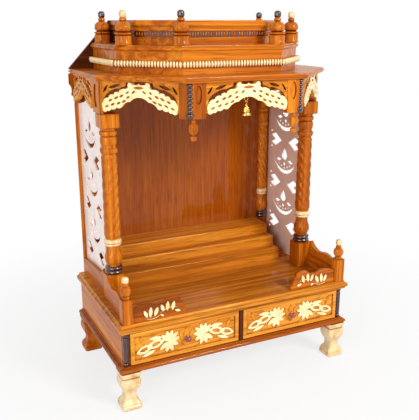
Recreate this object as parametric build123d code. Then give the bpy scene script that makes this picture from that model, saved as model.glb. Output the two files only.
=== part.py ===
"""Home temple in turned and carved wood: a footed base with two drawers, a stage with a
low gallery, four carved columns with pierced side screens, three inner steps, and a
canopy on a half-octagon plan with arched frets, a small bell and three stepped roof tiers.

Millimetres. The origin is the middle of the footprint on the floor, +Z is up, and the
drawers face -Y.
"""
import os
from math import cos, radians, sin, sqrt

from build123d import *

os.makedirs("parts", exist_ok=True)

# Footprint and heights
case_width = 600.0
case_depth = 351.0
cornice_reach = 17.0
foot_height = 92.0
lower_mould_height = 13.0
case_height = 80.0
stage_height = 22.0
seat_gap = 0.3
running_gap = 2.5
box_gap = 5.0

# Base case boards
mould_overhang = 10.0
side_thickness = 14.0
divider_thickness = 8.0
back_thickness = 5.0
corner_strip = 14.0
strip_depth = 12.0

# Feet
foot_top = 50.0
foot_toe = 36.0
foot_ankle = 25.0

# Drawers
drawer_front_thickness = 12.0
drawer_wall = 8.0
drawer_floor = 5.0
drawer_depth = 285.0
drawer_box_height = 58.0
runner_width = 14.0
runner_height = 4.0
knob_radius = 8.0
knob_length = 17.0

# Columns
column_x = 259.0
front_column_y = 155.0
block_width = 42.0
shaft_radius = 19.0
column_base_height = 65.0
shaft_top = 611.0
capital_height = 31.0

# Stage gallery
gallery_post_width = 24.0
gallery_post_height = 58.0
gallery_post_inset = 12.0
gallery_thickness = 9.0
gallery_height = 46.0
gallery_length = 128.0
side_gallery_height = 68.0

# Side screens
screen_thickness = 12.0
rail_height = 56.0
screen_pitch = 114.0

# Steps
step_half_width = 225.0
step_fronts = (209.0, 241.0, 275.0)
step_tops = (240.0, 265.0, 290.0)
step_board = 8.0

# Canopy
canopy_bottom = 714.0
hood_front = -5.0
hood_corner = 133.0
hood_side = 280.0
corner_face = 18.0
corner_depth = 16.0
fret_thickness = 9.0
fret_setback = 3.0
arch_thickness = 4.0
arch_half_width = 85.0
arch_foot = 651.0
arch_crown = 683.0
pendant_tip = 593.5

# Roof tiers: front face, half width of the front facet and half width over the sides
cornice_plan = (-cornice_reach, 143.5, 291.0)
lower_tier_plan = (50.0, 124.0, 238.0)
frieze_plan = (59.0, 121.0, 229.0)
middle_tier_plan = (55.0, 124.0, 234.5)
top_tier_plan = (98.0, 103.0, 187.0)
cornice_height = 11.0
riser_height = 14.0
lower_tier_height = 14.0
frieze_height = 18.0
middle_tier_height = 13.0
top_tier_height = 51.5
roof_board_thickness = 6.0

# Finials
finial_height = 72.0

# Bell
bell_hang = 672.0
bell_ring = 4.0
bell_wire = 0.8
bell_radius = 11.0
bell_height = 25.0

# Levels and planes worked out from the sizes above
back = (case_depth + cornice_reach) / 2
front = back - case_depth
half_width = case_width / 2
case_bottom = foot_height + lower_mould_height
case_top = case_bottom + case_height
stage = case_top + stage_height
case_half = half_width - mould_overhang
case_front = front + mould_overhang
back_panel_front = back - back_thickness
back_column_y = back_panel_front - block_width / 2
column_base_top = stage + column_base_height
cornice_top = canopy_bottom + cornice_height
lower_tier_bottom = cornice_top + riser_height
frieze_bottom = lower_tier_bottom + lower_tier_height
middle_tier_bottom = frieze_bottom + frieze_height
top_tier_bottom = middle_tier_bottom + middle_tier_height
roof_top = top_tier_bottom + top_tier_height
front_axis_y = front + front_column_y
hood_front_y = front + hood_front
side_corner_y = hood_front_y + hood_side - hood_corner


def save(name, shape):
    """Write one named piece of the temple."""
    export_step(shape, f"parts/{name}.step")


def save_pair(name, right_shape):
    """Write a right-hand piece and its mirror image on the left."""
    save(f"{name}_right", right_shape)
    save(f"{name}_left", mirror(right_shape, Plane.YZ))


def block(x_span, y_span, z_span):
    """Plain board or block between two places on each axis."""
    size = [high - low for low, high in (x_span, y_span, z_span)]
    corner = (x_span[0], y_span[0], z_span[0])
    return Pos(*corner) * Box(*size, align=(Align.MIN, Align.MIN, Align.MIN))


def edge_line(points):
    """Joined lines and arcs through (x, y, bulge): bulge is how far the stretch to a point bows."""
    edges = []
    for (x0, y0, _), (x1, y1, bulge) in zip(points, points[1:]):
        if bulge:
            edges.append(SagittaArc((x0, y0), (x1, y1), bulge))
        else:
            edges.append(Line((x0, y0), (x1, y1)))
    return edges


def outline(*points):
    """Closed flat face through (x, y) or (x, y, bulge) points."""
    full = [(*point, 0.0)[:3] for point in points]
    closed = full + [(full[0][0], full[0][1], 0.0)]
    return make_face(edge_line(closed))


def leaf(start, end, left_bulge, right_bulge):
    """Leaf, petal or crescent between two tips, from two arcs."""
    return make_face([SagittaArc(start, end, left_bulge), SagittaArc(end, start, right_bulge)])


def turned(*points):
    """Piece from the lathe: (radius, height, bulge) up its outside, closed along its axis."""
    bottom = (0.0, points[0][1], 0.0)
    top = (0.0, points[-1][1], 0.0)
    profile = outline(bottom, *points, top)
    return revolve(Plane.XZ * profile, Axis.Z)


def wall_plane(x, y, facing):
    """Upright plane at a wall: x runs along it, y runs up, z points out of it at an angle."""
    outward = Vector(cos(radians(facing)), sin(radians(facing)), 0)
    return Plane(origin=(x, y, 0), x_dir=Vector(0, 0, 1).cross(outward), z_dir=outward)


def moulded_slab(plan, *profile):
    """Slab on a half-octagon or a rectangle, with one moulding mitred round front and sides.

    The plan gives the front face, the half width of the front facet and the half width over
    the sides. The profile lists (setback, height, bulge) up the edge.
    """
    front_offset, facet_half, side_half = plan
    front_face = front + front_offset
    reach = case_width + case_depth
    inner_low = (-reach, profile[0][1])
    inner_high = (-reach, profile[-1][1])
    edge = [(-setback, height, *bulge) for setback, height, *bulge in profile]
    section = outline(inner_low, *edge, inner_high)
    walls = [(0, front_face, -90), (side_half, 0, 0)]
    if side_half > facet_half:
        walls.append((facet_half, front_face, -45))
    right = block((0, reach), (front - reach, back), (profile[0][1], profile[-1][1]))
    for x, y, facing in walls:
        outward = Vector(cos(radians(facing)), sin(radians(facing)), 0)
        run = Plane(origin=(x, y, 0), x_dir=outward, z_dir=outward.cross(Vector(0, 0, 1)))
        right = right & extrude(run * section, amount=reach, both=True)
    return right + mirror(right, Plane.YZ)


def rounded_edge(low, high, radius):
    """Profile of an edge whose upper and lower corners are both rounded."""
    return (
        (radius, low),
        (0, low + radius, radius * (1 - sqrt(0.5))),
        (0, high - radius),
        (radius, high, radius * (1 - sqrt(0.5))),
    )


def foot():
    """Cabriole foot: full knee under the moulding, slim ankle and a toe turned outward."""
    sections = (
        (foot_height, foot_top, 0.0),
        (0.86 * foot_height, foot_top, 0.0),
        (0.60 * foot_height, 0.5 * (foot_top + foot_ankle), 2.0),
        (0.28 * foot_height, foot_ankle, 4.0),
        (0.10 * foot_height, foot_toe - 3, 6.0),
        (0.0, foot_toe, 6.0),
    )
    faces = []
    for height, width, shift in sections:
        centre = foot_top / 2 - shift
        face = RectangleRounded(width, width, width / 5)
        faces.append(Pos(half_width - centre, front + centre, height) * face)
    return loft(faces)


def base_case():
    """Feet, mouldings and boards of the base that holds the drawers."""
    front_foot = foot()
    back_foot = mirror(front_foot, Plane.XZ.offset(-(front + back) / 2))
    save_pair("foot_front", front_foot)
    save_pair("foot_back", back_foot)
    square_plan = (0.0, half_width, half_width)
    lower = moulded_slab(
        square_plan,
        (4, foot_height),
        (0, foot_height + 4, 1.2),
        (0, foot_height + 7),
        (7, foot_height + 11, -1.5),
        (8, case_bottom),
    )
    save("lower_moulding", lower)
    top = moulded_slab(
        square_plan,
        (8, case_top),
        (4, case_top + 6, -1.5),
        (0, case_top + 8),
        (0, stage - 7),
        (7, stage, 2.0),
    )
    save("stage_top", top)
    inner_front = case_front + strip_depth
    rise = (case_bottom, case_top)
    save_pair("base_side", block((case_half - side_thickness, case_half), (inner_front, back), rise))
    inside = case_half - side_thickness
    save("base_back", block((-inside, inside), (back - back_thickness, back), rise))
    divider = block(
        (-divider_thickness / 2, divider_thickness / 2), (case_front, back - back_thickness), rise
    )
    save("centre_divider", divider)
    strip = block((case_half - corner_strip, case_half), (case_front, inner_front), rise)
    save("corner_strips", Compound([strip, mirror(strip, Plane.YZ)]))


def drawers():
    """Two drawers side by side: front board with a carved panel, box and turned knob."""
    bay_left = divider_thickness / 2
    bay_right = case_half - corner_strip
    low = case_bottom + running_gap
    high = case_top - running_gap
    face_y = case_front
    behind = face_y + drawer_front_thickness
    front_span = (bay_left + running_gap, bay_right - running_gap)
    centre = sum(front_span) / 2
    board = block(front_span, (face_y, behind), (low, high))
    frame = 9.0
    recess = block(
        (front_span[0] + frame, front_span[1] - frame),
        (face_y, face_y + 3.0),
        (low + frame, high - frame),
    )
    board -= recess
    box_span = (bay_left + box_gap, bay_right - box_gap)
    floor_level = case_bottom + runner_height + seat_gap
    box_y = (behind, behind + drawer_depth)
    box = block(box_span, box_y, (floor_level, floor_level + drawer_box_height))
    box -= block(
        (box_span[0] + drawer_wall, box_span[1] - drawer_wall),
        (box_y[0] + drawer_wall, box_y[1] - drawer_wall),
        (floor_level + drawer_floor, floor_level + drawer_box_height),
    )
    middle = (low + high) / 2
    panel_y = face_y + 3.0
    knob = turned(
        (5, 0),
        (5, 2, 0),
        (3, 4, -0.6),
        (3, 7, 0),
        (knob_radius, knob_length - 6, 0.8),
        (knob_radius - 2, knob_length - 1.5, 1.0),
        (2, knob_length, 0.4),
    )
    knob = Pos(centre, panel_y, middle) * Rot(90, 0, 0) * knob
    save_pair("drawer_front", board)
    save_pair("drawer_box", box)
    save_pair("drawer_knob", knob)
    runner_y = (behind + 1, behind + drawer_depth)
    runner_z = (case_bottom, case_bottom + runner_height)
    inner = block((box_span[0], box_span[0] + runner_width), runner_y, runner_z)
    outer = block((box_span[1] - runner_width, box_span[1]), runner_y, runner_z)
    runners = [inner, outer, mirror(inner, Plane.YZ), mirror(outer, Plane.YZ)]
    save("drawer_runners", Compound(runners))


def turned_finial(base_radius, height):
    """Small turned top: foot ring, onion bulb, neck ring and ball."""
    r = base_radius
    h = height
    return turned(
        (r, 0),
        (r, 0.14 * h, 0),
        (0.62 * r, 0.20 * h, -0.1 * r),
        (0.62 * r, 0.24 * h, 0),
        (1.02 * r, 0.42 * h, 0.16 * r),
        (0.42 * r, 0.62 * h, 0.10 * r),
        (0.42 * r, 0.66 * h, 0),
        (0.62 * r, 0.70 * h, 0.1 * r),
        (0.40 * r, 0.74 * h, 0.1 * r),
        (0.64 * r, 0.87 * h, 0.18 * r),
        (0.10 * r, h, 0.26 * r),
    )


def gallery():
    """Low gallery at the front of the stage: corner posts, wavy front panels, curved sides."""
    outer = half_width - gallery_post_inset + 2
    inner = outer - gallery_post_width
    post_front = front + 5.0
    post_back = post_front + gallery_post_width
    post_top = stage + gallery_post_height
    post = block((inner, outer), (post_front, post_back), (stage, post_top))
    finial = turned_finial(0.5 * gallery_post_width - 1, 53.0)
    post += Pos((inner + outer) / 2, (post_front + post_back) / 2, post_top) * finial
    save_pair("gallery_post", post)

    low = stage
    high = stage + gallery_height
    dip = high - 8
    end = inner - gallery_length
    panel = outline(
        (inner, low),
        (inner, high - 3),
        (inner - 0.30 * gallery_length, high - 2, -8.0),
        (inner - 0.50 * gallery_length, dip, 2.0),
        (inner - 0.70 * gallery_length, high - 2, 2.0),
        (end + 6, low + 14, -16.0),
        (end, low, 2.0),
    )
    plane = wall_plane(0, post_front + 0.5 * (gallery_post_width - gallery_thickness), -90)
    save_pair("gallery_front", extrude(plane * panel, amount=-gallery_thickness))

    start = post_back
    stop = front_axis_y - block_width / 2
    side_low = stage + 34.0
    side_high = stage + side_gallery_height
    middle = (start + stop) / 2
    side = outline(
        (start, low),
        (stop, low),
        (stop, side_high),
        (middle, (side_low + side_high) / 2 + 2, 9.0),
        (start, side_low, -8.0),
    )
    side_plane = wall_plane(outer - 6, 0, 0)
    save_pair("gallery_side", extrude(side_plane * side, amount=-gallery_thickness))


def column(x, y):
    """Carved column: square base, turned vase, shaft, rings and square capital."""
    half = block_width / 2
    base = block((x - half, x + half), (y - half, y + half), (stage, column_base_top))
    capital = block((x - half, x + half), (y - half, y + half), (shaft_top, shaft_top + capital_height))
    r = shaft_radius
    z = column_base_top
    shaft = turned(
        (r - 4, z),
        (r, z + 3, 1.0),
        (r, z + 7, 1.0),
        (r - 3, z + 10),
        (r - 3, z + 15),
        (r - 1, z + 19, 1.0),
        (r - 5, z + 22),
        (r, z + 45, 3.2),
        (r - 4, z + 66, -1.4),
        (r - 1, z + 69, 0.9),
        (r - 1, z + 83, 1.2),
        (r - 3, z + 87, -1.0),
        (r - 0.5, z + 98, 0.6),
        (r - 0.5, shaft_top - 58),
        (r - 3, shaft_top - 52),
        (r, shaft_top - 47, 1.4),
        (r - 3, shaft_top - 41, 1.4),
        (r - 4, shaft_top - 22),
        (r, shaft_top - 14, 1.4),
        (r - 3, shaft_top - 7, 1.4),
        (r - 2, shaft_top),
    )
    return base + Pos(x, y, 0) * shaft + capital


def columns():
    """Four columns; the front ones carry a corner post of the hood, the back ones a square post."""
    half = block_width / 2
    low = shaft_top + capital_height
    rise = canopy_bottom - low
    slant = corner_face / sqrt(2)
    inward = corner_depth / sqrt(2)
    corner_y = side_corner_y
    plan = Polyline(
        (hood_side, corner_y),
        (hood_side, front_axis_y + half),
        (hood_side - corner_depth, front_axis_y + half),
        (hood_side - slant - inward, corner_y - slant + inward),
        (hood_side - slant, corner_y - slant),
        close=True,
    )
    corner_post = extrude(Pos(0, 0, low) * make_face(plan), amount=rise)
    save_pair("column_front", column(column_x, front_axis_y) + corner_post)
    square = half - 2
    post = block(
        (column_x - square, hood_side), (back_column_y - half, back_column_y + half), (low, canopy_bottom)
    )
    save_pair("column_back", column(column_x, back_column_y) + post)


def side_screens():
    """Pierced side screens with lamp motifs, the rails under them and the frets above."""
    start = front_axis_y + block_width / 2
    stop = back_column_y - block_width / 2
    centre = (start + stop) / 2
    face = column_x + block_width / 2
    plane = wall_plane(face, 0, 0)
    rail_top = stage + rail_height
    rail = outline(
        (start, stage),
        (stop, stage),
        (stop, rail_top + 5),
        (centre, rail_top + 5, 7.0),
        (start, rail_top + 5, 7.0),
    )
    save_pair("screen_rail", extrude(plane * rail, amount=-screen_thickness))

    panel_low = rail_top + 5 + seat_gap
    panel_high = shaft_top + capital_height
    panel = outline((start, panel_low), (stop, panel_low), (stop, panel_high), (start, panel_high))
    for row in range(3):
        base = panel_low + 40 + row * screen_pitch
        bowl = leaf((centre - 38, base + 26), (centre + 38, base + 26), 26.0, -14.0)
        flame = leaf((centre, base + 30), (centre, base + 78), 9.0, 9.0)
        panel -= bowl
        panel -= flame
        for side in (-1, 1):
            edge = centre + side * 52
            panel -= leaf((edge, base + 44), (edge, base + 96), 8.0, 8.0)
    save_pair("screen", extrude(plane * panel, amount=-screen_thickness))

    fret = outline(
        (start, panel_high),
        (stop, panel_high),
        (stop, canopy_bottom),
        (start, canopy_bottom),
    )
    save_pair("side_fret", extrude(plane * fret, amount=-fret_thickness))


def shrine_back():
    """Back sheet and the scalloped stiles beside it."""
    sheet_half = column_x - 2
    sheet = block((-sheet_half, sheet_half), (back_panel_front, back), (stage, canopy_bottom))
    save("back_panel", sheet)
    outer = column_x + block_width / 2
    wing = cornice_plan[2]
    shoulder = shaft_top + capital_height
    stile = outline(
        (sheet_half, stage),
        (outer, stage),
        (outer, shoulder),
        (wing - 4, shoulder + 22, 4.0),
        (wing, shoulder + 48, 4.0),
        (wing, canopy_bottom),
        (sheet_half, canopy_bottom),
    )
    plane = wall_plane(0, back_panel_front, -90)
    stile = extrude(plane * stile, amount=-back_thickness)
    save("back_stiles", Compound([stile, mirror(stile, Plane.YZ)]))


def steps():
    """Three inner steps, each a hollow box with a rounded front edge."""
    lower = stage
    names = ("step_lower", "step_middle", "step_upper")
    for name, front_offset, top in zip(names, step_fronts, step_tops):
        step_front = front + front_offset
        span = (-step_half_width, step_half_width)
        step = block(span, (step_front, back_panel_front), (lower, top))
        step = fillet(step.edges().filter_by(Axis.X).group_by(Axis.Z)[-1].sort_by(Axis.Y)[0], 3.0)
        hollow = block(
            (span[0] + step_board, span[1] - step_board),
            (step_front + step_board, back_panel_front - step_board),
            (lower, top - step_board),
        )
        save(name, step - hollow)
        lower = top


def bay_fret(length):
    """Fret board of one bay with a cusped arch cut under it, drawn about its middle."""
    half = length / 2
    rise = arch_crown - arch_foot
    arch = min(arch_half_width, half) - 8
    return outline(
        (-half, canopy_bottom),
        (-half, arch_foot),
        (-arch, arch_foot),
        (-0.62 * arch, arch_foot + 0.45 * rise, 4.0),
        (-0.30 * arch, arch_foot + 0.80 * rise, 4.0),
        (-4, arch_crown, 2.0),
        (4, arch_crown),
        (0.30 * arch, arch_foot + 0.80 * rise, 2.0),
        (0.62 * arch, arch_foot + 0.45 * rise, 4.0),
        (arch, arch_foot, 4.0),
        (half, arch_foot),
        (half, canopy_bottom),
    )


def bay_arch(length):
    """Gilded arch band on one bay: a cusped strip with a raised crown."""
    half = min(arch_half_width, length / 2)
    rise = arch_crown - arch_foot
    inner = half - 8
    return outline(
        (-half, arch_foot + 6),
        (-inner, arch_foot, 3.0),
        (-0.62 * inner, arch_foot + 0.45 * rise, 4.0),
        (-0.30 * inner, arch_foot + 0.80 * rise, 4.0),
        (-4, arch_crown, 2.0),
        (4, arch_crown),
        (0.30 * inner, arch_foot + 0.80 * rise, 2.0),
        (0.62 * inner, arch_foot + 0.45 * rise, 4.0),
        (inner, arch_foot, 4.0),
        (half, arch_foot + 6, 3.0),
        (0.62 * half, arch_foot + 0.45 * rise + 12, -4.0),
        (0.26 * half, arch_foot + 0.80 * rise + 10, -4.0),
        (0.10 * half, canopy_bottom - 6, 3.0),
        (-0.10 * half, canopy_bottom - 6, -3.0),
        (-0.26 * half, arch_foot + 0.80 * rise + 10, 3.0),
        (-0.62 * half, arch_foot + 0.45 * rise + 12, -4.0),
    )


def hood():
    """Corner posts with turned pendants, and the arched frets of the three open bays."""
    corner_y = hood_front_y
    slant = corner_face / sqrt(2)
    inward = corner_depth / sqrt(2)
    plan = Polyline(
        (hood_corner - corner_face, corner_y),
        (hood_corner, corner_y),
        (hood_corner + slant, corner_y + slant),
        (hood_corner + slant - inward, corner_y + slant + inward),
        (hood_corner - corner_face, corner_y + corner_depth),
        close=True,
    )
    post = extrude(Pos(0, 0, arch_foot) * make_face(plan), amount=canopy_bottom - arch_foot)
    drop = turned(
        (2, pendant_tip),
        (6.5, pendant_tip + 6, 2.4),
        (3.5, pendant_tip + 11.5, 2.4),
        (3.5, pendant_tip + 13),
        (7.5, pendant_tip + 17, 0.4),
        (10, pendant_tip + 30, 1.0),
        (4.5, pendant_tip + 38.5, 1.5),
        (4.5, pendant_tip + 42),
        (9, arch_foot, -2.0),
    )
    drop_x = hood_corner - 4
    drop_y = corner_y + 10
    post += Pos(drop_x, drop_y, 0) * drop
    save_pair("pendant_post", post)

    front_length = 2 * (hood_corner - corner_face)
    fret_y = corner_y + fret_setback
    front_plane = wall_plane(0, fret_y, -90)
    save("fret_front", extrude(front_plane * bay_fret(front_length), amount=-fret_thickness))
    save("arch_front", extrude(front_plane * bay_arch(front_length), amount=arch_thickness))

    near = Vector(hood_corner + slant, corner_y + slant, 0)
    far = Vector(hood_side - slant, side_corner_y - slant, 0)
    side_length = (far - near).length
    middle = (near + far) / 2
    inward = Vector(-1, 1, 0).normalized() * fret_setback
    plane = wall_plane(middle.X + inward.X, middle.Y + inward.Y, -45)
    fret = extrude(plane * bay_fret(side_length), amount=-fret_thickness)
    save_pair("fret_corner", fret)
    save_pair("arch_corner", extrude(plane * bay_arch(side_length), amount=arch_thickness))


def canopy():
    """Cornice slab and the three stepped roof tiers in front of the back board."""
    board_front = back - roof_board_thickness
    clear = block(
        (-case_width, case_width), (board_front, back + 1), (cornice_top, roof_top + finial_height)
    )
    save("cornice", moulded_slab(cornice_plan, *rounded_edge(canopy_bottom, cornice_top, 4.5)))
    low = lower_tier_bottom
    lower_tier = moulded_slab(
        lower_tier_plan,
        (9, cornice_top),
        (9, low),
        (0, low + 4),
        (0, low + 8),
        (3, frieze_bottom, 0.8),
    )
    save("roof_lower_tier", lower_tier - clear)
    low = frieze_bottom
    frieze = moulded_slab(frieze_plan, (0, low), (0, middle_tier_bottom))
    save("roof_frieze", frieze - clear)
    low = middle_tier_bottom
    middle_tier = moulded_slab(middle_tier_plan, *rounded_edge(low, top_tier_bottom, 4.0))
    save("roof_middle_tier", middle_tier - clear)
    low = top_tier_bottom
    top_tier = moulded_slab(
        top_tier_plan,
        (10, low),
        (10, low + 16),
        (8, low + 18),
        (8, low + 28),
        (3, low + 30, -0.8),
        (3, low + 39),
        (0, low + 41, -0.8),
        (0, roof_top - 4),
        (4, roof_top, 1.2),
    )
    save("roof_top_tier", top_tier - clear)
    board = outline(
        (-cornice_plan[2], cornice_top),
        (cornice_plan[2], cornice_top),
        (top_tier_plan[2], roof_top),
        (-top_tier_plan[2], roof_top),
    )
    plane = wall_plane(0, board_front, -90)
    save("roof_back_board", extrude(plane * board, amount=-roof_board_thickness))


def finials():
    """Six turned finials on the middle tier."""
    shape = turned_finial(11.0, finial_height)
    places = {
        "front": (116.5, 73.0),
        "side": (213.0, 164.0),
        "back": (213.0, 325.0),
    }
    for name, (x, y) in places.items():
        right = Pos(x, front + y, top_tier_bottom) * shape
        left = Pos(-x, front + y, top_tier_bottom) * shape
        save(f"finials_{name}", Compound([right, left]))


def bell():
    """Small brass bell on an eye under the front arch."""
    y = front + hood_front + fret_setback + fret_thickness / 2
    eye_z = bell_hang + bell_ring
    eye = Pos(0, y, eye_z) * Rot(90, 0, 0) * Torus(bell_ring, bell_wire)
    stem_low = eye_z + bell_ring
    stem = Pos(0, y, stem_low) * Cylinder(
        bell_wire, arch_crown - stem_low, align=(Align.CENTER, Align.CENTER, Align.MIN)
    )
    save("bell_eye", eye + stem)
    loop_top = bell_hang + 2 * bell_wire + seat_gap
    loop_z = loop_top - bell_ring
    loop = Pos(0, y, loop_z) * Rot(0, 90, 0) * Torus(bell_ring, bell_wire)
    top = loop_z - bell_ring
    r = bell_radius
    wall = 1.2
    mouth = top - bell_height
    cup = turned(
        (r, mouth),
        (r, mouth + 1),
        (0.72 * r, mouth + 0.30 * bell_height, -0.8),
        (0.55 * r, mouth + 0.72 * bell_height, -0.4),
        (0.30 * r, mouth + 0.90 * bell_height, 0.9),
        (1.6, top - 1),
        (1.6, top),
    )
    inside = turned(
        (r - wall, mouth),
        (0.72 * r - wall, mouth + 0.30 * bell_height, -0.8),
        (0.55 * r - wall, mouth + 0.70 * bell_height, -0.4),
        (1.0, mouth + 0.84 * bell_height, 0.6),
    )
    clapper_top = mouth + 0.84 * bell_height
    save("bell", Pos(0, y, 0) * (cup - inside) + loop)
    clapper = turned(
        (0.8, mouth + 1),
        (2.6, mouth + 3.6, 1.0),
        (0.7, mouth + 6.2, 1.0),
        (0.6, clapper_top),
    )
    save("bell_clapper", Pos(0, y, 0) * clapper)


base_case()
drawers()
gallery()
columns()
side_screens()
shrine_back()
steps()
hood()
canopy()
finials()
bell()
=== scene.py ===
# %% [markdown]
# A carved home temple, dressed around its solid model.
# The solid model already has every board, column and drawer at its real size and place.
# This script gives each of them a finish, adds the fine carving, and sets up light and camera.

# %% Load the solid model as a fixed frame
import math

import bmesh
import bpy
from mathutils import Matrix, Vector


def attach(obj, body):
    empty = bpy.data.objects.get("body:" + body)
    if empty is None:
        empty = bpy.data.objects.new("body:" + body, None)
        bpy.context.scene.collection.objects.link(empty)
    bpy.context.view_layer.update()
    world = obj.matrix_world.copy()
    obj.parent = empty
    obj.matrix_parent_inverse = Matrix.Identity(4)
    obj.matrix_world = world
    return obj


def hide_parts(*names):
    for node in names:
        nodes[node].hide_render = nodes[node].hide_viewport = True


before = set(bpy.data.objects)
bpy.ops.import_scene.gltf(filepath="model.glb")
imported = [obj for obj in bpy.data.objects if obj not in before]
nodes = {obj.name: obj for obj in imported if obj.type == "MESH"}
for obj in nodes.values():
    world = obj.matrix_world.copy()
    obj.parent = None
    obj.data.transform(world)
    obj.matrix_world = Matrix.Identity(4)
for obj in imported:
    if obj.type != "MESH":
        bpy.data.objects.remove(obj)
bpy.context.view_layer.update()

# %% [markdown]
# Every finish is built from shader nodes. They could be joined by hand in the editor, but a
# script is easier to read and to change. Four helpers keep it short: one turns a screen colour
# into the linear numbers that light is worked out in, one adds a node, sets its values and
# joins its inputs, and two open and close a material.

# %% Colour and node helpers
def linear(code, alpha=1.0):
    """Linear colour of an sRGB hex code such as 'B8621B'."""
    values = [int(code[i:i + 2], 16) / 255 for i in (0, 2, 4)]
    curve = [v / 12.92 if v <= 0.04045 else ((v + 0.055) / 1.055) ** 2.4 for v in values]
    return (*curve, alpha)


def add(tree, kind, settings=None, **inputs):
    """Adds a node. Settings are its properties, or stops, a ramp's (position, hex) pairs.

    Inputs are values, sockets, or nodes whose first output is joined; _0 is the first input.
    """
    node = tree.nodes.new(kind)
    for key, value in (settings or {}).items():
        if key == "stops":
            elements = node.color_ramp.elements
            while len(elements) < len(value):
                elements.new(0.5)
            for element, (position, code) in zip(elements, value):
                element.position = position
                element.color = linear(code)
        else:
            setattr(node, key, value)
    for key, value in inputs.items():
        name = key.replace("_", " ")
        socket = node.inputs[int(name[1:])] if name[1:].isdigit() else node.inputs[name]
        if isinstance(value, bpy.types.Node):
            value = value.outputs[0]
        if isinstance(value, bpy.types.NodeSocket):
            tree.links.new(value, socket)
        else:
            socket.default_value = value
    return node


def new_material(name):
    """Empty material and its node tree."""
    material = bpy.data.materials.new(name)
    material.use_nodes = True
    material.node_tree.nodes.clear()
    return material, material.node_tree


def finish_material(tree, shader):
    """Joins the shader to a fresh output node."""
    add(tree, "ShaderNodeOutputMaterial", Surface=shader)


TIMES = {"operation": "MULTIPLY"}
TIMES_PLUS = {"operation": "MULTIPLY_ADD"}
MULTIPLIED = {"data_type": "RGBA", "blend_type": "MULTIPLY"}
COLOUR_OUT = 2
print("mid brown in linear light:", [round(v, 3) for v in linear("B8621B")])

# %% [markdown]
# The temple is orange-brown teak or sheesham under thick clear lacquer. Its sawn boards show
# long growth lines. A photograph of wood could be wrapped round each board, but it would
# stretch and repeat, so the grain is worked out in space: a noise drawn out along the grain is
# folded into bands, a second one gives fibres and a fine one the pores. The lacquer is a smooth
# coat over duller wood, so boards seen at a low angle mirror the pale room.

# %% Lacquered wood
ALONG_GRAIN = 0.035
GRAIN = {axis: tuple(ALONG_GRAIN if one == axis else 1.0 for one in "xyz") for axis in "xyz"}
BAND_WIDTH = 0.0075
FIBRE_WIDTH = 0.004
PORE_WIDTH = 0.0011  # three times a real pore, so that the render can show it
PORE_DEPTH = 0.0004
WOOD_CREASE = 0.010
LACQUER_ROUGHNESS = 0.06
WOODS = {
    "teak": ("642804", "BC6210", "F09C28"),
    "light_teak": ("7B3908", "D18020", "F8B344"),
    "honey_teak": ("6E3706", "C6761A", "F6B040"),
    # Painted shade: the next palette is the same teak made darker, for boards that sit in shade.
    "brown_teak": ("6A2A06", "9A4A0A", "C07220"),
    "dark_teak": ("2A0D05", "552310", "7C3A17"),
    "pale_board": ("A0703F", "C79A62", "DDB781"),
}
made_woods = {}


def paint_crease_shade(tree, colour, crease_shade_code, reach, own_mesh=False):
    """Painted shade: darkens a colour where a surface has something within reach before it."""
    openness = add(
        tree, "ShaderNodeAmbientOcclusion", {"samples": 8, "only_local": own_mesh}, Distance=reach
    ).outputs["AO"]
    painted_shade_ramp = add(
        tree, "ShaderNodeValToRGB", {"stops": ((0.35, crease_shade_code), (0.85, "FFFFFF"))}, Fac=openness
    )
    mixed = add(tree, "ShaderNodeMix", MULTIPLIED, _0=1.0, _6=colour, _7=painted_shade_ramp)
    return mixed.outputs[COLOUR_OUT]


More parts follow.
